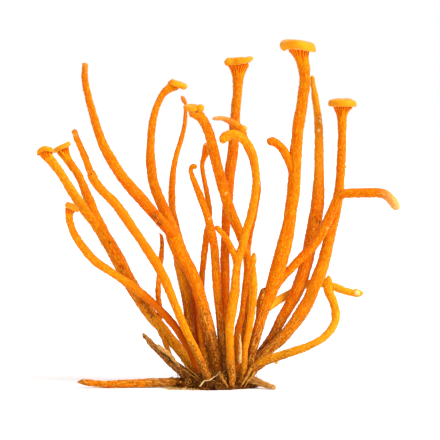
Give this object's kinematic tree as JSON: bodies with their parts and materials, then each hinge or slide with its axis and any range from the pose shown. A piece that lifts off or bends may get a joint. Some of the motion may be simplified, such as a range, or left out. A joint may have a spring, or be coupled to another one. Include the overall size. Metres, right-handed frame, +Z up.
{
  "type": "cordyceps bunch",
  "caption": "Bunch of slender orange cordyceps fruit bodies, some with small flared caps, fanning up and hooking over from a dark matted base cut off flat at the ground.",
  "frame": {"origin": "on the ground under the middle of the bounding box", "axes": "+Z up along the growing direction, front towards -Y, +X to the right as seen from the front"},
  "size_m": [0.1028, 0.0473, 0.0989],
  "materials": {
    "orange_skin": "satin, fine-grained orange fungus skin",
    "bright_skin": "satin, fine-grained yellow-orange fungus skin",
    "red_skin": "matte, fine-grained red-orange fungus skin",
    "dark_skin": "matte, dark red-brown fungus skin",
    "brown_skin": "matte, dried brown fungus skin",
    "matted_base": "matte, crumbly dark brown mat of fungus threads and soil"
  },
  "bodies": {
    "root": {"matted_base": "matted_base", "outer_left_trunk": "orange_skin", "outer_left_branch": "bright_skin", "thin_spotted_branch": "red_skin", "low_left_capped_stroma": "bright_skin", "bright_left_stroma": "bright_skin", "left_arched_stroma": "orange_skin", "left_tall_stroma": "orange_skin", "left_dark_strand": "dark_skin", "thin_back_stroma": "orange_skin", "small_capped_strand": "red_skin", "small_hooked_stroma": "orange_skin", "middle_leaning_stroma": "orange_skin", "front_hooked_stroma": "bright_skin", "front_side_branch": "orange_skin", "middle_capped_stroma": "red_skin", "curl_tipped_stroma": "orange_skin", "torn_tip_stroma": "bright_skin", "tallest_capped_stroma": "orange_skin", "tallest_side_branch": "orange_skin", "broken_side_stub": "brown_skin", "right_arm_stroma": "orange_skin", "right_drooping_branch": "bright_skin", "right_plain_stroma": "red_skin", "right_capped_stroma": "orange_skin", "right_curved_stroma": "bright_skin", "broken_left_stub": "brown_skin", "lower_left_strand": "dark_skin", "fallen_stroma": "orange_skin", "ground_root": "brown_skin"}
  },
  "joints": []
}
